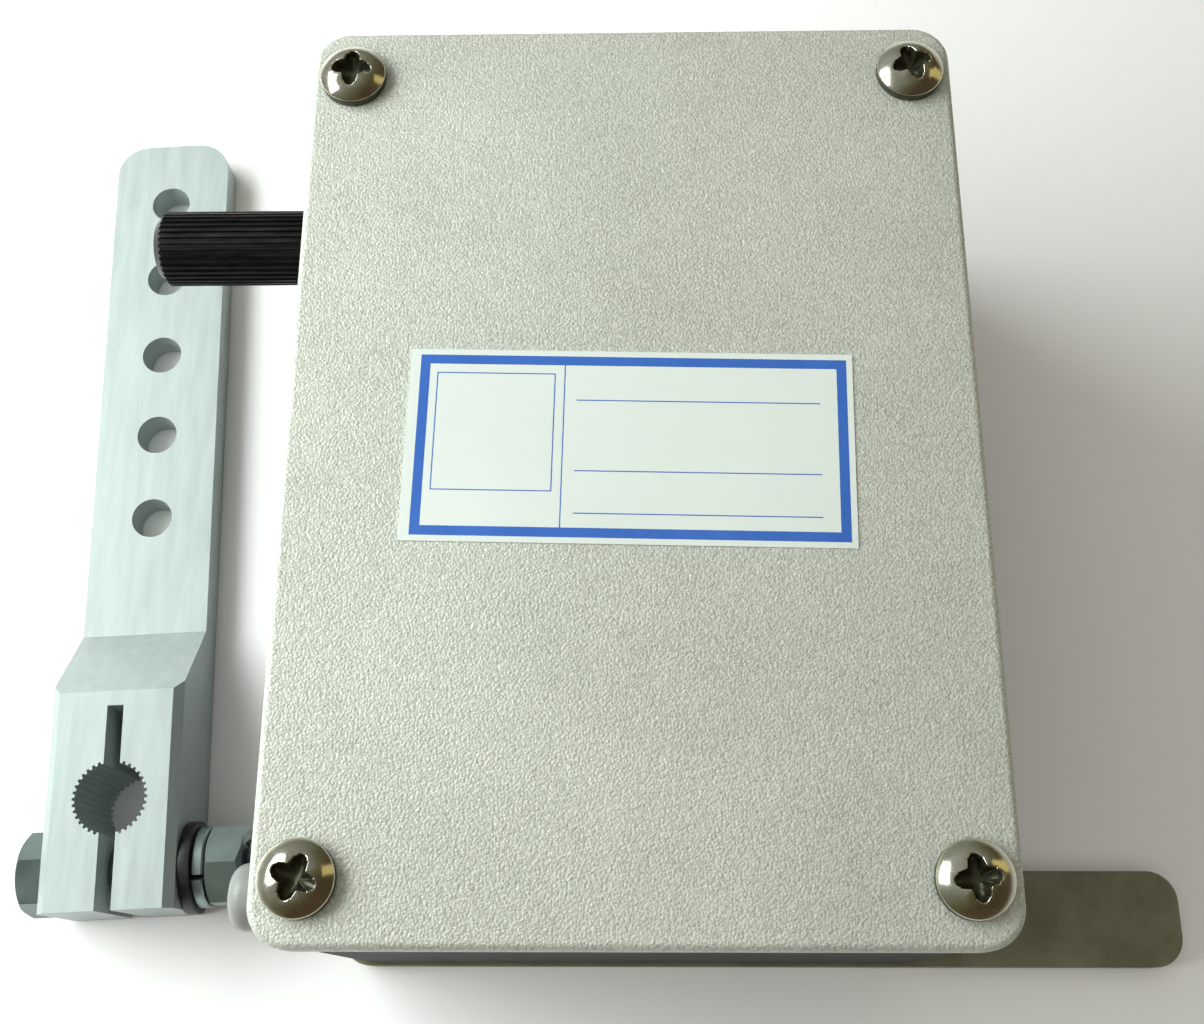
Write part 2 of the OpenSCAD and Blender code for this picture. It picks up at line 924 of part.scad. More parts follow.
// two leads from the winding to the gland's inner end, where the supply cord joins them
module coil_leads() {
    for (s = [-1, 1]) {
        out = [lead_end, gland_y + s * (lead_r + 0.1), gland_z];
        bend = [-screw_x + pillar_r + 3.5 - s * (lead_r + 0.5), out[1], gland_z];
        turn = [stack_left - 3 - s * (lead_r + 0.3), coil_front - 4, gland_z + 3];
        start = [turn[0], coil_front, turn[2]];
        color(s > 0 ? [0.55, 0.08, 0.06] : [0.06, 0.06, 0.07]) {
            rod(out, bend, lead_r);
            rod(bend, turn, lead_r);
            rod(turn, start, lead_r);
            translate(bend)
                sphere(lead_r * 1.05, $fn = 24);
            translate(turn)
                sphere(lead_r * 1.05, $fn = 24);
        }
    }
}

// puts a piece of the lever in its place on the floor
module at_lever() {
    translate([-lever_x, -lever_y, 0])
        rotate([0, 0, lever_turn])
            children();
}

// moves to the clamp bolt's axis, with the child's Z along the bolt
module on_bolt(x) {
    translate([x, -bolt_front, bolt_z])
        rotate([0, 90, 0])
            children();
}

// aluminium lever with a split clamp block
module lever() {
    half = lever_w / 2;
    color([0.78, 0.80, 0.80])
        at_lever()
            difference() {
                intersection() {
                    along_x(-half, half)
                        polygon([
                            [-block_front, 0], [arm_end, 0], [arm_end, arm_t],
                            [block_back + ramp_l, arm_t], [block_back, block_t], [-block_front, block_t]
                        ]);
                    linear_extrude(block_t) {
                        translate([-half, -block_front])
                            square([lever_w, block_front + arm_end - arm_r]);
                        translate([-half + arm_r, arm_end - arm_r - 1])
                            square([lever_w - 2 * arm_r, arm_r + 1]);
                        for (x = [-half + arm_r, half - arm_r])
                            translate([x, arm_end - arm_r])
                                circle(arm_r);
                    }
                }
                for (s = [-1, 1])
                    translate([s * half, 0, block_t])
                        rotate([0, 45, 0])
                            cube([block_cham * sqrt(2), 4 * block_t, block_cham * sqrt(2)], center = true);
                translate([-slot_w / 2, -block_front - 1, -1])
                    cube([slot_w, block_front + slot_back + 1, block_t + 2]);
                translate([0, 0, -1])
                    linear_extrude(block_t + 2)
                        serrated(clamp_gap);
                on_bolt(-half - 1)
                    cylinder(h = lever_w + 2, r = bolt_r + hole_gap);
                for (i = [0 : hole_count - 1])
                    translate([0, hole_first + i * hole_step, -1])
                        cylinder(h = arm_t + 2, r = hole_d / 2);
            }
}

module clamp_bolt() {
    color([0.66, 0.67, 0.68])
        at_lever() {
            on_bolt(-lever_w / 2 - head_h)
                rotate([0, 0, -15])
                    cylinder(h = head_h, r = hex_r, $fn = 6);
            on_bolt(-lever_w / 2 - 0.1)
                cylinder(h = bolt_l + 0.1, r = bolt_r);
        }
}

module clamp_washer() {
    color([0.22, 0.22, 0.22])
        at_lever()
            on_bolt(lever_w / 2)
                difference() {
                    cylinder(h = washer_t, r = hex_r + 0.4);
                    translate([0, 0, -1])
                        cylinder(h = washer_t + 2, r = bolt_r + 0.2);
                }
}

module clamp_lock_washer() {
    color([0.55, 0.56, 0.56])
        at_lever()
            on_bolt(lever_w / 2 + washer_t)
                difference() {
                    cylinder(h = washer_t, r = bolt_r + 2.4);
                    translate([0, 0, -1])
                        cylinder(h = washer_t + 2, r = bolt_r + 0.15);
                    rotate([0, 0, 200])
                        translate([0, -0.4, -1])
                            cube([hex_af, 0.8, washer_t + 2]);
                }
}

module clamp_nut() {
    color([0.62, 0.63, 0.62])
        at_lever()
            on_bolt(lever_w / 2 + 2 * washer_t)
                difference() {
                    rotate([0, 0, 180])
                        cylinder(h = nut_h, r = hex_r, $fn = 6);
                    translate([0, 0, -1])
                        cylinder(h = nut_h + 2, r = bolt_r + thread_gap);
                }
}

case();
cover();
cover_gasket();
cover_screws();
mounting_plate();
plate_screws();
output_shaft();
shaft_seal();
retaining_rings();
bearing_left_outer();
bearing_left_inner();
bearing_left_balls();
bearing_right_outer();
bearing_right_inner();
bearing_right_balls();
armature();
armature_pin();
magnet_core();
coil_former();
coil_winding();
core_screws();
yoke_screws();
stop_collar();
return_spring();
cable_gland();
coil_leads();
lever();
clamp_bolt();
clamp_washer();
clamp_lock_washer();
clamp_nut();
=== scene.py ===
import json
import math

import bmesh
import bpy
from mathutils import Matrix, Vector


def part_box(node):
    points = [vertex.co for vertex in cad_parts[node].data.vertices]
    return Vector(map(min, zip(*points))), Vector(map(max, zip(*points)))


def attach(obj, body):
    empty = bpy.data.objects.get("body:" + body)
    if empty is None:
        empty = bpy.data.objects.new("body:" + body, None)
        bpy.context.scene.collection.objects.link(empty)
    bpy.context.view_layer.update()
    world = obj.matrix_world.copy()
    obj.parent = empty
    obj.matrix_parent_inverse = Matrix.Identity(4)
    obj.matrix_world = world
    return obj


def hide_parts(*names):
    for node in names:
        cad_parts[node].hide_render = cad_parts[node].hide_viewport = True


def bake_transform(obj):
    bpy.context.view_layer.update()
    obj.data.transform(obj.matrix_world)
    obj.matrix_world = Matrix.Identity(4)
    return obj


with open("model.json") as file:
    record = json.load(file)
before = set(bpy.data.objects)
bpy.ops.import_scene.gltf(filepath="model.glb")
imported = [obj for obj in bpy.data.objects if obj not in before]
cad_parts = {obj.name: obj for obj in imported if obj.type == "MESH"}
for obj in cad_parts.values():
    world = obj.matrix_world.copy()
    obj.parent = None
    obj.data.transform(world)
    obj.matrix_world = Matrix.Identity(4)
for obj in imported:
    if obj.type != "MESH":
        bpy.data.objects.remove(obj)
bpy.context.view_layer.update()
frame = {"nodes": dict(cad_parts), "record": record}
node = frame["nodes"]


# Mounting plate: flat rolled steel under the case, with one ear past the front right corner.
# It is blanked from strip, so its edges are slightly rolled over. The steel is left dull and brownish.

def mottled(
    name, *, dark, light, metal, rough, patch, grain, bump, speckle=0.0, stretch=(1, 1, 1), pebbles=False
):
    """A finish that wanders in patches between two shades and two roughnesses, over a finer bump.

    patch and grain are sizes and bump is a height, in metres. speckle is the share of the shade that
    follows the grain and not the patches. The bump is cloudy, or else made of round pebbles.
    """
    noise_low, noise_high = 0.3, 0.7
    made = bpy.data.materials.new(name)
    made.use_nodes = True
    n, link = made.node_tree.nodes, made.node_tree.links.new
    shader = n["Principled BSDF"]
    shader.inputs["Metallic"].default_value = metal
    place = n.new("ShaderNodeTexCoord")
    drawn = n.new("ShaderNodeMapping")
    drawn.inputs["Scale"].default_value = stretch
    link(place.outputs["Object"], drawn.inputs["Vector"])
    cloud = n.new("ShaderNodeTexNoise")
    cloud.inputs["Scale"].default_value = 1 / patch
    cloud.inputs["Detail"].default_value = 6
    cloud.inputs["Roughness"].default_value = 0.6
    link(drawn.outputs["Vector"], cloud.inputs["Vector"])
    fine = n.new("ShaderNodeTexNoise")
    fine.inputs["Scale"].default_value = 1 / grain
    fine.inputs["Detail"].default_value = 3
    fine.inputs["Roughness"].default_value = 0.62
    link(drawn.outputs["Vector"], fine.inputs["Vector"])
    mixed = n.new("ShaderNodeMix")
    mixed.inputs["Factor"].default_value = speckle
    link(cloud.outputs["Fac"], mixed.inputs["A"])
    link(fine.outputs["Fac"], mixed.inputs["B"])
    shade = n.new("ShaderNodeValToRGB")
    shade.color_ramp.elements[0].position = noise_low
    shade.color_ramp.elements[1].position = noise_high
    shade.color_ramp.elements[0].color = (*dark, 1)
    shade.color_ramp.elements[1].color = (*light, 1)
    link(mixed.outputs["Result"], shade.inputs["Fac"])
    link(shade.outputs["Color"], shader.inputs["Base Color"])
    gloss = n.new("ShaderNodeMapRange")
    gloss.inputs["From Min"].default_value = noise_low
    gloss.inputs["From Max"].default_value = noise_high
    gloss.inputs["To Min"].default_value = rough[0]
    gloss.inputs["To Max"].default_value = rough[1]
    link(mixed.outputs["Result"], gloss.inputs["Value"])
    link(gloss.outputs["Result"], shader.inputs["Roughness"])
    height = n.new("ShaderNodeBump")
    height.inputs["Strength"].default_value = 1
    height.inputs["Distance"].default_value = bump
    link(fine.outputs["Fac"], height.inputs["Height"])
    if pebbles:
        cells = n.new("ShaderNodeTexVoronoi")
        cells.inputs["Scale"].default_value = 1 / grain
        link(drawn.outputs["Vector"], cells.inputs["Vector"])
        link(cells.outputs["Distance"], height.inputs["Height"])
        height.invert = True
    link(height.outputs["Normal"], shader.inputs["Normal"])
    return made


def dress(finish, *names):
    """Gives CAD pieces a finish."""
    for name in names:
        node[name].data.materials.clear()
        node[name].data.materials.append(finish)


def piece_from(name, bm, finish, sharp=35):
    """Makes a piece of a mesh that is in place, smooth but for its large flats and its sharp edges.

    Edges are sharp from an angle in degrees, and flats are large from 10 mm2.
    """
    large_flat = 1e-5
    mesh = bpy.data.meshes.new(name)
    bm.to_mesh(mesh)
    bm.free()
    mesh.materials.append(finish)
    mesh.set_sharp_from_angle(angle=math.radians(sharp))
    for face in mesh.polygons:
        face.use_smooth = face.area < large_flat
    made = bpy.data.objects.new(name, mesh)
    bpy.context.scene.collection.objects.link(made)
    return made


def merged_copy(name):
    """A copy of a CAD piece whose faces share their corners."""
    same_corner = 2e-6
    bm = bmesh.new()
    bm.from_mesh(node[name].data)
    bmesh.ops.remove_doubles(bm, verts=bm.verts, dist=same_corner)
    return bm


def break_edges(bm, width, keep=None):
    """Rounds a mesh's sharp edges, but for those that keep() leaves as they are."""
    flat_to, sharp_from = math.radians(0.5), math.radians(30)
    bmesh.ops.dissolve_limit(bm, angle_limit=flat_to, verts=bm.verts, edges=bm.edges)
    sharp = [e for e in bm.edges if len(e.link_faces) == 2 and e.calc_face_angle(0) > sharp_from]
    if keep:
        sharp = [e for e in sharp if not keep(e)]
    bmesh.ops.bevel(
        bm, geom=sharp, offset=width, segments=2, profile=0.6, affect="EDGES", clamp_overlap=True
    )
    bmesh.ops.recalc_face_normals(bm, faces=bm.faces)


dull_steel = mottled(
    "dull_steel", dark=(0.155, 0.156, 0.096), light=(0.255, 0.245, 0.170),
    metal=0.35, rough=(0.42, 0.6), patch=0.006, grain=0.0004, bump=0.00003
)
bm = merged_copy("mounting_plate")
break_edges(bm, width=0.0003)
plate = piece_from("mounting_plate_rolled", bm, dull_steel)
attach(plate, "case")
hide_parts("mounting_plate")
zinc = mottled(
    "zinc_plate", dark=(0.23, 0.29, 0.28), light=(0.31, 0.38, 0.365),
    metal=0.75, rough=(0.3, 0.4), patch=0.004, grain=0.0003, bump=0.000003
)
dress(zinc, "plate_screws")


# Case: an aluminium die casting with bearing bosses, screw pillars and posts inside.
# Its walls are painted near black as painted shade, so they are much darker and duller than the blasted
# cover.

painted_shade_wall = mottled(
    "painted_shade_wall", dark=(0.034, 0.034, 0.036), light=(0.056, 0.056, 0.060),
    metal=0.0, rough=(0.6, 0.75), patch=0.012, grain=0.0007, bump=0.00004
)
painted_shade_wall.node_tree.nodes["Principled BSDF"].inputs["Specular IOR Level"].default_value = 0.15
dress(painted_shade_wall, "case")


# Shaft, bearings and seal: a turned shaft with black oxide, in two ball bearings behind a rubber seal.
# The serrations are rolled along the shaft, so its finish runs the same way.

black_oxide = mottled(
    "black_oxide", dark=(0.008, 0.009, 0.009), light=(0.024, 0.025, 0.024),
    metal=0.6, rough=(0.28, 0.5), patch=0.0012, grain=0.0003, bump=0.00001, stretch=(0.25, 1, 1)
)
dress(black_oxide, "output_shaft")
ground_steel = mottled(
    "ground_steel", dark=(0.52, 0.53, 0.54), light=(0.64, 0.65, 0.66),
    metal=1.0, rough=(0.15, 0.3), patch=0.002, grain=0.0002, bump=0.000004
)
dress(ground_steel, "bearing_left_outer", "bearing_left_inner", "bearing_left_balls")
dress(ground_steel, "bearing_right_outer", "bearing_right_inner", "bearing_right_balls")
seal_rubber = mottled(
    "seal_rubber", dark=(0.012, 0.012, 0.013), light=(0.024, 0.024, 0.026),
    metal=0.0, rough=(0.55, 0.75), patch=0.003, grain=0.0003, bump=0.00002
)
dress(seal_rubber, "shaft_seal")
phosphate = mottled(
    "phosphate", dark=(0.05, 0.05, 0.052), light=(0.09, 0.09, 0.094),
    metal=0.8, rough=(0.4, 0.6), patch=0.002, grain=0.0002, bump=0.00001
)
dress(phosphate, "retaining_rings", "armature_pin")


# Electromagnet: an iron core on the case floor, its wound coil, and the iron armature on the shaft.
# Core and armature are stacked from sheets, so their finish is banded along the shaft.

core_iron = mottled(
    "core_iron", dark=(0.16, 0.155, 0.15), light=(0.26, 0.25, 0.24),
    metal=0.9, rough=(0.35, 0.55), patch=0.004, grain=0.0004, bump=0.00003, stretch=(9, 1, 1)
)
dress(core_iron, "magnet_core", "armature")
moulded = mottled(
    "moulded_former", dark=(0.018, 0.017, 0.016), light=(0.032, 0.030, 0.028),
    metal=0.0, rough=(0.4, 0.55), patch=0.004, grain=0.0003, bump=0.00001
)
dress(moulded, "coil_former")
enamel = mottled(
    "enamelled_wire", dark=(0.30, 0.10, 0.035), light=(0.52, 0.20, 0.07),
    metal=0.7, rough=(0.2, 0.35), patch=0.0006, grain=0.0005, bump=0.0001, stretch=(0.05, 1, 0.05)
)
dress(enamel, "coil_winding")
dress(zinc, "core_screws", "yoke_screws")


# Stop collar: turned steel on the shaft, with the lug that meets the case's stop posts.
# Return spring: one end turns with the collar and its leg bears on the case, so the coils wind up.

turned = mottled(
    "turned_steel", dark=(0.30, 0.29, 0.28), light=(0.42, 0.41, 0.40),
    metal=1.0, rough=(0.25, 0.4), patch=0.002, grain=0.0002, bump=0.000008
)
dress(turned, "stop_collar")
wire = 0.0016
coils_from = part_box("stop_collar")[1] + Vector((wire, 0, 0))
coils_to = coils_from.copy()
coils_to.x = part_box("return_spring")[1].x - wire
spring = piece_from("return_spring_wound", merged_copy("return_spring"), phosphate)
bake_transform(spring)
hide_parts("return_spring")


# Cable gland: a pale grey moulding in the left wall, with the coil's two insulated leads behind it.
# Its end is rounded where the supply cord would leave.

grey_plastic = mottled(
    "grey_plastic", dark=(0.235, 0.247, 0.232), light=(0.285, 0.297, 0.282),
    metal=0.0, rough=(0.3, 0.42), patch=0.006, grain=0.0005, bump=0.00001
)
dress(grey_plastic, "cable_gland")
lead_cover = mottled(
    "lead_cover", dark=(0.10, 0.012, 0.010), light=(0.16, 0.02, 0.016),
    metal=0.0, rough=(0.35, 0.5), patch=0.003, grain=0.0003, bump=0.000008
)
dress(lead_cover, "coil_leads")


# Gasket: a dark rubber sheet cut to the case's rim.
# It shows as a thin line between the cover and the wall.

gasket_rubber = mottled(
    "gasket_rubber", dark=(0.016, 0.016, 0.016), light=(0.034, 0.034, 0.033),
    metal=0.0, rough=(0.6, 0.8), patch=0.004, grain=0.0004, bump=0.00003
)
dress(gasket_rubber, "cover_gasket")


# Cover: a flat cast aluminium plate with a pebbled face, blasted to a pale silver.
# The pebbles are about a third of a millimetre across and run into each other.

pebbled = mottled(
    "pebbled_cover", dark=(0.38, 0.40, 0.35), light=(0.74, 0.77, 0.69),
    metal=0.35, rough=(0.66, 0.54), patch=0.03, grain=0.00031, bump=0.00007,
    speckle=0.75, pebbles=True
)
dress(pebbled, "cover")


# Cover screws: four pan-head screws with cross recesses, in bright plating with a yellow tint.
# Each was driven to its own angle. The recess has four wings that slope down to a small floor. Like the
# rim of the head it is painted darker than the dome, as painted shade.

bright_plate = mottled(
    "bright_plate", dark=(0.60, 0.58, 0.46), light=(0.78, 0.77, 0.66),
    metal=1.0, rough=(0.12, 0.22), patch=0.0025, grain=0.0006, bump=0.000002
)
# A darker olive copy of the plating: painted shade for the recess and the rim of the head.
painted_shade_plate = mottled(
    "painted_shade_plate", dark=(0.050, 0.050, 0.030), light=(0.115, 0.115, 0.075),
    metal=0.8, rough=(0.3, 0.5), patch=0.0012, grain=0.0003, bump=0.00001
)
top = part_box("cover")[1].z
low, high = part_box("cover_screws")
head_r, shank_r, foot_chamfer = 0.0041, 0.002, 0.0002
head_h = high.z - top
rim_h = 0.4 * head_h
dome_r = ((head_h - rim_h) ** 2 + head_r ** 2) / (2 * (head_h - rim_h))
wing_tip, wing_taper, wing_reach, recess_d = 0.00066, 0.24, 0.0025, 0.0021
wing_bow, bow_half, bow_past = 0.1, 14, 20
dome_shares = (0.97, 0.9, 0.8, 0.72)
wing_shares_and_depths = ((1.08, 0.0), (1.03, 0.00003), (0.985, 0.00012), (0.90, 0.0011), (0.6, 0.0017))
floor_share, lip = 0.3, 0.0002
around = 120
rays = [math.radians(360 / around * k) for k in range(around)]


def dome(r):
    """Height of the head's dome over the cover at a radius."""
    return head_h - dome_r + math.sqrt(dome_r ** 2 - r ** 2)


def wing(a):
    """How far the recess reaches at an angle: four wings that narrow outwards to bowed ends."""
    off = abs((math.degrees(a) + 45) % 90 - 45)
    turned = math.radians(off)
    side = (wing_tip + wing_taper * wing_reach) / (math.sin(turned) + wing_taper * math.cos(turned))
    end = wing_reach * (1 - wing_bow * (off / bow_half) ** 2)
    return min(side, end) if off < bow_past else side


def skin(bm, rows, closed=True):
    """Joins rows of vertices that run round, and closes the two ends."""
    count = len(rows[0])
    for lower, upper in zip(rows, rows[1:]):
        for i in range(count):
            bm.faces.new((lower[i], lower[(i + 1) % count], upper[(i + 1) % count], upper[i]))
    if closed:
        bm.faces.new(list(reversed(rows[0])))
        bm.faces.new(rows[-1])
    bmesh.ops.recalc_face_normals(bm, faces=bm.faces)


def ring(bm, radii, heights):
    """A row of vertices round the local Z axis, each with its radius and height."""
    step = 2 * math.pi / len(radii)
    return [
        bm.verts.new((r * math.cos(i * step), r * math.sin(i * step), z))
        for i, (r, z) in enumerate(zip(radii, heights))
    ]


def circle(bm, count, r, z):
    """A row of vertices at one radius and height."""
    return ring(bm, [r] * count, [z] * count)


bm = bmesh.new()
shank = [(shank_r, low.z - top), (shank_r, 0)]
rim = [(head_r - foot_chamfer, 0), (head_r, foot_chamfer), (head_r, rim_h)]
rows = [circle(bm, around, r, z) for r, z in shank + rim]
for share in dome_shares:
    rows.append(circle(bm, around, share * head_r, dome(share * head_r)))
for share, sink in wing_shares_and_depths:
    reach = [share * wing(a) for a in rays]
    rows.append(ring(bm, reach, [dome(r) - sink for r in reach]))
rows.append(ring(bm, [floor_share * wing(a) for a in rays], [head_h - recess_d] * around))
skin(bm, rows)
screw_mesh = bpy.data.meshes.new("screw_shape")
bm.to_mesh(screw_mesh)
bm.free()
# The recess and the rim of the head take the darker plating as painted shade.
painted_shade_faces = screw_mesh.attributes.new("painted_shade_faces", "BOOLEAN", "FACE")
for face in screw_mesh.polygons:
    face.use_smooth = True
    reach = face.center.xy.length
    recessed = reach < wing_reach and face.center.z < dome(reach) - lip
    painted_shade_faces.data[face.index].value = recessed or face.center.z < rim_h
screw_mesh.set_sharp_from_angle(angle=math.radians(50))
screw_shape = bpy.data.objects.new("screw_shape", screw_mesh)
bpy.context.scene.collection.objects.link(screw_shape)

solid_head_r = 0.004
left, right = low.x + solid_head_r, high.x - solid_head_r
front, back = low.y + solid_head_r, high.y - solid_head_r
driven_to = {(left, back): -4, (right, back): 20, (left, front): -23, (right, front): 8}
places = bpy.data.meshes.new("screw_places")
places.from_pydata([(x, y, top) for x, y in driven_to], [], [])
angles = places.attributes.new("driven_to", "FLOAT", "POINT")
angles.data.foreach_set("value", [math.radians(a) for a in driven_to.values()])
holder = bpy.data.objects.new("cover_screws_driven", places)
bpy.context.scene.collection.objects.link(holder)

tree = bpy.data.node_groups.new("screw_at_each_place", "GeometryNodeTree")
tree.interface.new_socket("Places", in_out="INPUT", socket_type="NodeSocketGeometry")
tree.interface.new_socket("Screw", in_out="INPUT", socket_type="NodeSocketObject")
tree.interface.new_socket("Finish", in_out="INPUT", socket_type="NodeSocketMaterial")
tree.interface.new_socket("Painted shade finish", in_out="INPUT", socket_type="NodeSocketMaterial")
tree.interface.new_socket("Screws", in_out="OUTPUT", socket_type="NodeSocketGeometry")
g, join = tree.nodes, tree.links.new
given = g.new("NodeGroupInput")
angle = g.new("GeometryNodeInputNamedAttribute")
angle.data_type = "FLOAT"
angle.inputs["Name"].default_value = "driven_to"
turn = g.new("ShaderNodeCombineXYZ")
join(angle.outputs["Attribute"], turn.inputs["Z"])
shape = g.new("GeometryNodeObjectInfo")
join(given.outputs["Screw"], shape.inputs["Object"])
put = g.new("GeometryNodeInstanceOnPoints")
join(given.outputs["Places"], put.inputs["Points"])
join(shape.outputs["Geometry"], put.inputs["Instance"])
join(turn.outputs["Vector"], put.inputs["Rotation"])
real = g.new("GeometryNodeRealizeInstances")
join(put.outputs["Instances"], real.inputs["Geometry"])
plated = g.new("GeometryNodeSetMaterial")
join(real.outputs["Geometry"], plated.inputs["Geometry"])
join(given.outputs["Finish"], plated.inputs["Material"])
chosen = g.new("GeometryNodeInputNamedAttribute")
chosen.data_type = "BOOLEAN"
chosen.inputs["Name"].default_value = "painted_shade_faces"
shade_set = g.new("GeometryNodeSetMaterial")
join(plated.outputs["Geometry"], shade_set.inputs["Geometry"])
join(chosen.outputs["Attribute"], shade_set.inputs["Selection"])
join(given.outputs["Painted shade finish"], shade_set.inputs["Material"])
out = g.new("NodeGroupOutput")
join(shade_set.outputs["Geometry"], out.inputs["Screws"])

key = {s.name: s.identifier for s in tree.interface.items_tree if s.in_out == "INPUT"}
fitted = holder.modifiers.new("screws", "NODES")
fitted.node_group = tree
fitted[key["Screw"]] = screw_shape
fitted[key["Finish"]] = bright_plate
fitted[key["Painted shade finish"]] = painted_shade_plate
bpy.context.view_layer.update()
seen = holder.evaluated_get(bpy.context.evaluated_depsgraph_get())
screws = bpy.data.meshes.new_from_object(seen)
holder.modifiers.remove(fitted)
holder.data = screws
bpy.data.objects.remove(screw_shape)
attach(holder, "case")
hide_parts("cover_screws")


# Label: a thin white vinyl sticker on the cover with a printed blue frame and empty fields.
# It was cut with a wider margin at the left, and put on by hand a little out of square.

vinyl = mottled(
    "white_vinyl", dark=(0.64, 0.70, 0.66), light=(0.68, 0.74, 0.70),
    metal=0.0, rough=(0.28, 0.36), patch=0.02, grain=0.0007, bump=0.000012
)
ink = mottled(
    "blue_ink", dark=(0.028, 0.115, 0.44), light=(0.040, 0.140, 0.50),
    metal=0.0, rough=(0.3, 0.38), patch=0.01, grain=0.0007, bump=0.000012
)
label_w, label_h, label_t = 0.0508, 0.0236, 0.00012
label_at, label_turn = (-0.0001, -0.0010, top), math.radians(-1.3)
margin, left_spare, band, line = 0.0007, 0.0005, 0.00115, 0.00014
x_out, y_out = label_w / 2, label_h / 2
x_in, y_in = x_out - margin, y_out - margin
x_field, y_field = x_in - band, y_in - band
split = -0.0079
box_l, box_r, box_t, box_b = -0.0227, -0.0089, 0.0089, -0.0057
rule_l, rule_r = -0.0064, 0.0216
rules = (0.0055, -0.0032, -0.0083)
x_cuts = {-x_out - left_spare, -x_in, -x_field, x_field, x_in, x_out, split, split + line}
x_cuts = sorted(x_cuts | {box_l, box_l + line, box_r - line, box_r, rule_l, rule_r})
y_cuts = {-y_out, -y_in, -y_field, y_field, y_in, y_out, *rules, *(y + line for y in rules)}
y_cuts = sorted(y_cuts | {box_b, box_b + line, box_t - line, box_t})


def printed(x, y):
    """Whether the sticker carries ink at a point."""
    if abs(x) > x_in or abs(y) > y_in:
        return False
    if abs(x) > x_field or abs(y) > y_field or split < x < split + line:
        return True
    if box_l < x < box_r and box_b < y < box_t:
        return not (box_l + line < x < box_r - line and box_b + line < y < box_t - line)
    return rule_l < x < rule_r and any(y0 < y < y0 + line for y0 in rules)


bm = bmesh.new()
grid = [[bm.verts.new((x, y, label_t)) for x in x_cuts] for y in y_cuts]
for j, (y0, y1) in enumerate(zip(y_cuts, y_cuts[1:])):
    for i, (x0, x1) in enumerate(zip(x_cuts, x_cuts[1:])):
        face = bm.faces.new((grid[j][i], grid[j][i + 1], grid[j + 1][i + 1], grid[j + 1][i]))
        face.material_index = int(printed((x0 + x1) / 2, (y0 + y1) / 2))
skirt = bmesh.ops.extrude_edge_only(bm, edges=[e for e in bm.edges if e.is_boundary])
for part in skirt["geom"]:
    if isinstance(part, bmesh.types.BMVert):
        part.co.z = 0
bmesh.ops.contextual_create(bm, geom=[e for e in bm.edges if e.is_boundary])
bmesh.ops.recalc_face_normals(bm, faces=bm.faces)
laid = Matrix.Translation(label_at) @ Matrix.Rotation(label_turn, 4, "Z")
bmesh.ops.transform(bm, verts=bm.verts, matrix=laid)
sticker = piece_from("label_blank", bm, vinyl)
sticker.data.materials.append(ink)
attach(sticker, "case")


# Lever: sawn and milled from aluminium bar, bare and satin, with five link holes and a split block.
# Its edges are broken by hand, but the serrations in its bore stay sharp.

bare_aluminium = mottled(
    "bare_aluminium", dark=(0.355, 0.41, 0.405), light=(0.44, 0.505, 0.495),
    metal=0.3, rough=(0.4, 0.55), patch=0.0016, grain=0.00025, bump=0.000012, stretch=(1, 0.12, 1)
)
mount = {m["name"]: Vector(m["pos_m"]) for m in frame["record"]["mounts"]}
bore = mount["lever_clamp"]
arm = mount["link_holes_1_2"] - bore
lever_turn = math.atan2(-arm.x, arm.y)
bore_r = 0.0058


def in_bore(edge):
    """Whether an edge belongs to the serrations of the bore."""
    return all((v.co - bore).xy.length < bore_r for v in edge.verts)


bm = merged_copy("lever")
break_edges(bm, width=0.0002, keep=in_bore)
lever = piece_from("lever_milled", bm, bare_aluminium, sharp=30)
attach(lever, "case")
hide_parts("lever")


# Clamp bolt: a zinc-plated hexagon bolt through the split block, with a chamfered head and a thread.
# Its zinc is painted darker than the nut's, as painted shade. Its places are counted along it from the
# middle of the nut.

painted_shade_zinc = mottled(
    "painted_shade_zinc", dark=(0.125, 0.165, 0.165), light=(0.185, 0.235, 0.23),
    metal=0.75, rough=(0.36, 0.48), patch=0.004, grain=0.0003, bump=0.000003
)
flats, face_r = 0.010, 0.0047
nut_h, washer_t, lever_w = 0.005, 0.0016, 0.018
head_t, bolt_l, bolt_r = 0.004, 0.035, 0.003
pitch, depth, crest, flank, end_chamfer = 0.001, 0.0006, 0.12, 0.76, 0.0008
facets, thread_rows = 72, 250
nut_low, nut_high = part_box("clamp_nut")
on_bolt = Matrix.Translation((nut_low + nut_high) / 2) @ Matrix.Rotation(lever_turn, 4, "Z")
on_bolt = on_bolt @ Matrix.Rotation(math.radians(90), 4, "Y")
under_head = -nut_h / 2 - 2 * washer_t - lever_w
bolt_end = under_head + bolt_l


def hexagon(corner):
    """Distance from the middle to a hexagon's sides, all round, with a corner at an angle in degrees."""
    off = [(360 / facets * k - corner) % 60 - 30 for k in range(facets)]
    return [flats / 2 / math.cos(math.radians(a)) for a in off]


def cut_back(six):
    """How far a chamfer of 30 degrees cuts a hexagon back, all round."""
    return [(r - face_r) * math.tan(math.radians(30)) for r in six]


def thread(i, z):
    """Radius of the bolt at a facet and a place: a groove that winds along it, and a chamfered end."""
    wave = abs(((z / pitch - i / facets) % 1) * 2 - 1)
    groove = min(max((wave - crest) / flank, 0), 1) * depth
    return min(bolt_r - groove, bolt_r - end_chamfer + max(0, bolt_end - z))


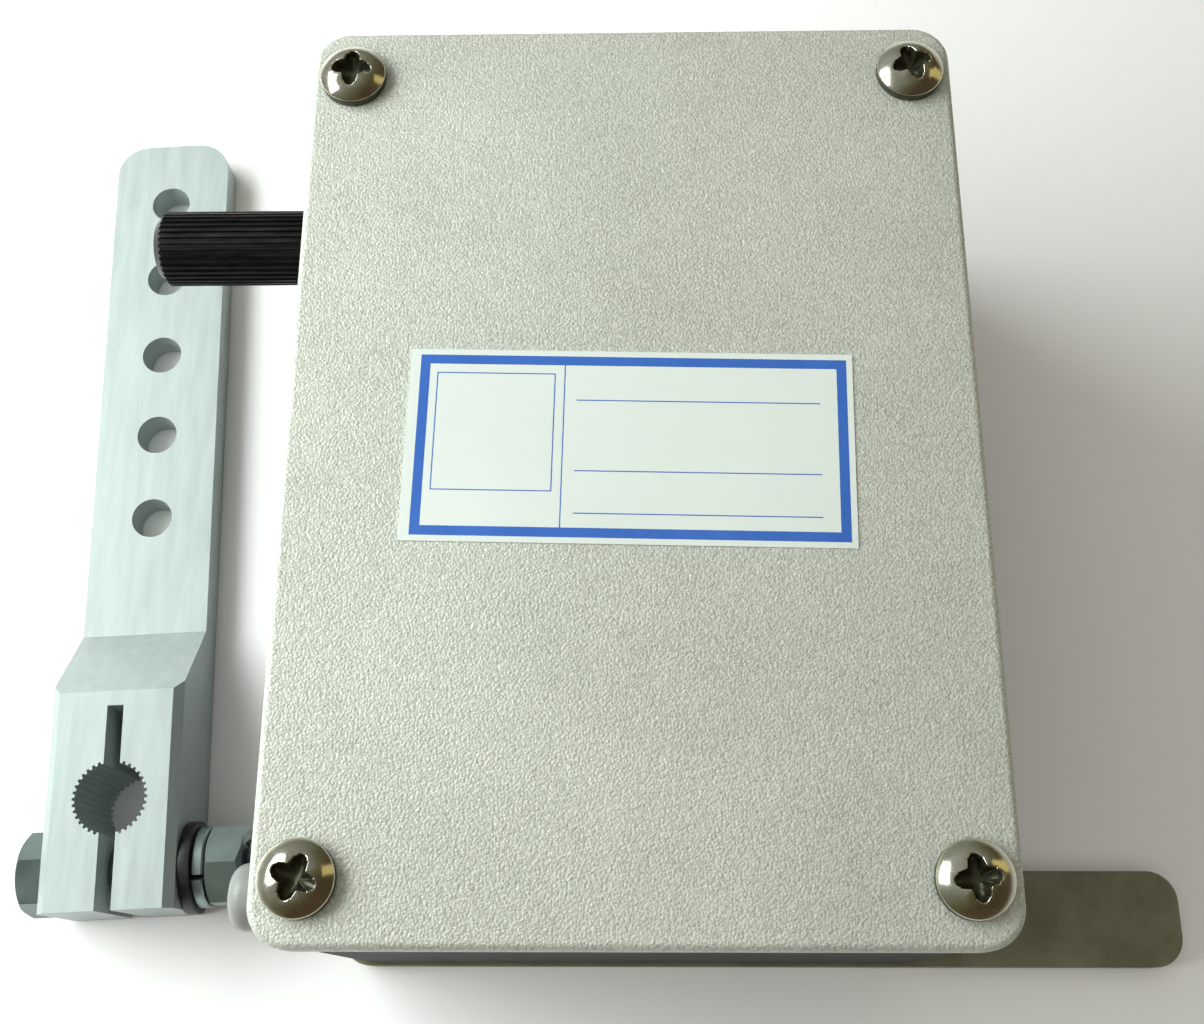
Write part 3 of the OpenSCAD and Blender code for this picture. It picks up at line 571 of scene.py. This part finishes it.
bm = bmesh.new()
six = hexagon(-15)
chamfer = cut_back(six)
rows = [
    circle(bm, facets, face_r, under_head - head_t),
    ring(bm, six, [under_head - head_t + c for c in chamfer]),
    ring(bm, six, [under_head] * facets),
    circle(bm, facets, bolt_r, under_head),
]
for k in range(1, thread_rows + 1):
    z = under_head + bolt_l * k / thread_rows
    rows.append(ring(bm, [thread(i, z) for i in range(facets)], [z] * facets))
skin(bm, rows)
bmesh.ops.transform(bm, verts=bm.verts, matrix=on_bolt)
bolt = piece_from("clamp_bolt_threaded", bm, painted_shade_zinc, sharp=25)
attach(bolt, "case")
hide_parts("clamp_bolt")


# Clamp nut: a hexagon nut with both faces chamfered and a countersink at each end of its thread.
# It was tightened with one corner up.

bm = bmesh.new()
six = hexagon(180)
chamfer = cut_back(six)
hole_r, sunk = 0.00305, 0.0004
half_h = nut_h / 2
rows = [
    circle(bm, facets, hole_r, sunk - half_h),
    circle(bm, facets, hole_r + sunk, -half_h),
    circle(bm, facets, face_r, -half_h),
    ring(bm, six, [c - half_h for c in chamfer]),
    ring(bm, six, [half_h - c for c in chamfer]),
    circle(bm, facets, face_r, half_h),
    circle(bm, facets, hole_r + sunk, half_h),
    circle(bm, facets, hole_r, half_h - sunk),
]
skin(bm, rows + [rows[0]], closed=False)
bmesh.ops.transform(bm, verts=bm.verts, matrix=on_bolt)
nut = piece_from("clamp_nut_chamfered", bm, zinc, sharp=25)
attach(nut, "case")
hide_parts("clamp_nut")


# Lock washer: one turn of square spring wire, split, and nearly pressed flat under the nut.
# Its ends stay a little apart.

inner, outer, thick, soft = 0.00315, 0.0054, 0.0015, 0.0002
starts_at, runs_for, bends, spread = 204, 352, 60, 0.0001
section = [
    (inner, 0),
    (outer - soft, 0),
    (outer, soft),
    (outer, thick - soft),
    (outer - soft, thick),
    (inner, thick),
]
bm = bmesh.new()
rows = []
for k in range(bends + 1):
    a = math.radians(starts_at + runs_for * k / bends)
    lift = -nut_h / 2 - washer_t + spread * k / bends
    rows.append([bm.verts.new((r * math.cos(a), r * math.sin(a), lift + z)) for r, z in section])
skin(bm, rows)
bmesh.ops.transform(bm, verts=bm.verts, matrix=on_bolt)
lock_washer = piece_from("clamp_lock_washer_split", bm, zinc)
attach(lock_washer, "case")
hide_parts("clamp_lock_washer")


# Flat washer: a blackened stamping against the lever's side, with its edges rolled over by the die.
# It is the darkest piece of the clamp.

blackened = mottled(
    "blackened_steel", dark=(0.030, 0.030, 0.030), light=(0.07, 0.07, 0.068),
    metal=0.8, rough=(0.3, 0.5), patch=0.002, grain=0.0003, bump=0.00001
)
bm = merged_copy("clamp_washer")
break_edges(bm, width=0.00015)
flat_washer = piece_from("clamp_washer_stamped", bm, blackened)
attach(flat_washer, "case")
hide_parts("clamp_washer")


# Studio: a pale floor in a room with a window at the upper left, an even ceiling, a fill and a strip.
# The window is two lights, one for surfaces and one for their shine. Metal reflects a room that is dim
# to the right and in front, and the camera sees a pale backdrop in its place.

paper = bpy.data.materials.new("pale_paper")
paper.use_nodes = True
matt = paper.node_tree.nodes["Principled BSDF"]
matt.inputs["Base Color"].default_value = (0.94, 0.94, 0.94, 1)
matt.inputs["Roughness"].default_value = 0.8
floor_reach, floor_drop = 15, 0.0002
bm = bmesh.new()
bmesh.ops.create_grid(bm, x_segments=1, y_segments=1, size=floor_reach)
bmesh.ops.translate(bm, verts=bm.verts, vec=(0, 0, -floor_drop))
sheet = bpy.data.meshes.new("floor")
bm.to_mesh(sheet)
bm.free()
sheet.materials.append(paper)
floor = bpy.data.objects.new("floor", sheet)
bpy.context.scene.collection.objects.link(floor)

room = bpy.data.worlds.new("studio")
room.use_nodes = True
n, link = room.node_tree.nodes, room.node_tree.links.new
facing = n.new("ShaderNodeTexCoord")
toward = n.new("ShaderNodeVectorMath")
toward.operation = "DOT_PRODUCT"
toward.inputs[1].default_value = Vector((-0.7, 0.45, 0.55)).normalized()
link(facing.outputs["Generated"], toward.inputs[0])
share = n.new("ShaderNodeMapRange")
share.inputs["From Min"].default_value = -0.1
share.inputs["From Max"].default_value = 1.0
link(toward.outputs["Value"], share.inputs["Value"])
glow = n.new("ShaderNodeValToRGB")
glow.color_ramp.elements[0].color = (0.10, 0.07, 0.04, 1)
glow.color_ramp.elements[1].color = (0.46, 0.48, 0.46, 1)
olive = glow.color_ramp.elements.new(0.3)
olive.color = (0.15, 0.145, 0.085, 1)
link(share.outputs["Result"], glow.inputs["Fac"])
link(glow.outputs["Color"], n["Background"].inputs["Color"])
n["Background"].inputs["Strength"].default_value = 0.8
backdrop = n.new("ShaderNodeBackground")
backdrop.inputs["Color"].default_value = (0.42, 0.42, 0.41, 1)
ray = n.new("ShaderNodeLightPath")
shown = n.new("ShaderNodeMixShader")
link(ray.outputs["Is Camera Ray"], shown.inputs["Fac"])
link(n["Background"].outputs["Background"], shown.inputs[1])
link(backdrop.outputs["Background"], shown.inputs[2])
link(shown.outputs["Shader"], n["World Output"].inputs["Surface"])
bpy.context.scene.world = room


middle = Vector((0, 0, 0.03))
daylight = (0.95, 1, 0.985)


def soft_light(name, *, at, size, power, colour):
    """A soft oblong light that faces the object and doesn't show itself."""
    lamp = bpy.data.lights.new(name, "AREA")
    lamp.shape = "RECTANGLE"
    lamp.size, lamp.size_y = size
    lamp.energy = power
    lamp.color = colour
    held = bpy.data.objects.new(name, lamp)
    held.location = at
    held.rotation_euler = (middle - Vector(at)).to_track_quat("-Z", "Y").to_euler()
    held.visible_camera = False
    bpy.context.scene.collection.objects.link(held)
    return held


window = soft_light("window", at=(-0.26, 0.057, 0.21), size=(0.39, 0.19), power=1.87, colour=daylight)
window.visible_glossy = False
shine = soft_light("window_shine", at=(-0.32, 0.07, 0.26), size=(0.30, 0.15), power=1.0, colour=daylight)
shine.visible_diffuse = False
overhead = bpy.data.lights.new("ceiling", "SUN")
overhead.angle = math.radians(80)
overhead.energy = 0.7
overhead.color = (1, 0.965, 0.925)
ceiling = bpy.data.objects.new("ceiling", overhead)
ceiling.visible_glossy = False
bpy.context.scene.collection.objects.link(ceiling)
fill = soft_light("fill", at=(0.75, -0.15, 0.55), size=(0.6, 0.6), power=0.35, colour=(1, 0.97, 0.91))
fill.visible_glossy = False
strip = soft_light("warm_strip", at=(0.6, 0.2, 0.3), size=(0.22, 0.5), power=0.2, colour=(1, 0.85, 0.36))
strip.visible_diffuse = False

eye = bpy.data.cameras.new("camera")
eye.sensor_width = 36
eye.lens = 42.7
eye.clip_start = 0.01
stand = bpy.data.objects.new("camera", eye)
stand.location = (-0.0002, -0.0619, 0.2061)
stand.rotation_euler = (math.radians(19.32), math.radians(1.16), math.radians(0.16))
bpy.context.scene.collection.objects.link(stand)
bpy.context.scene.camera = stand
bpy.context.scene.view_settings.view_transform = "Standard"
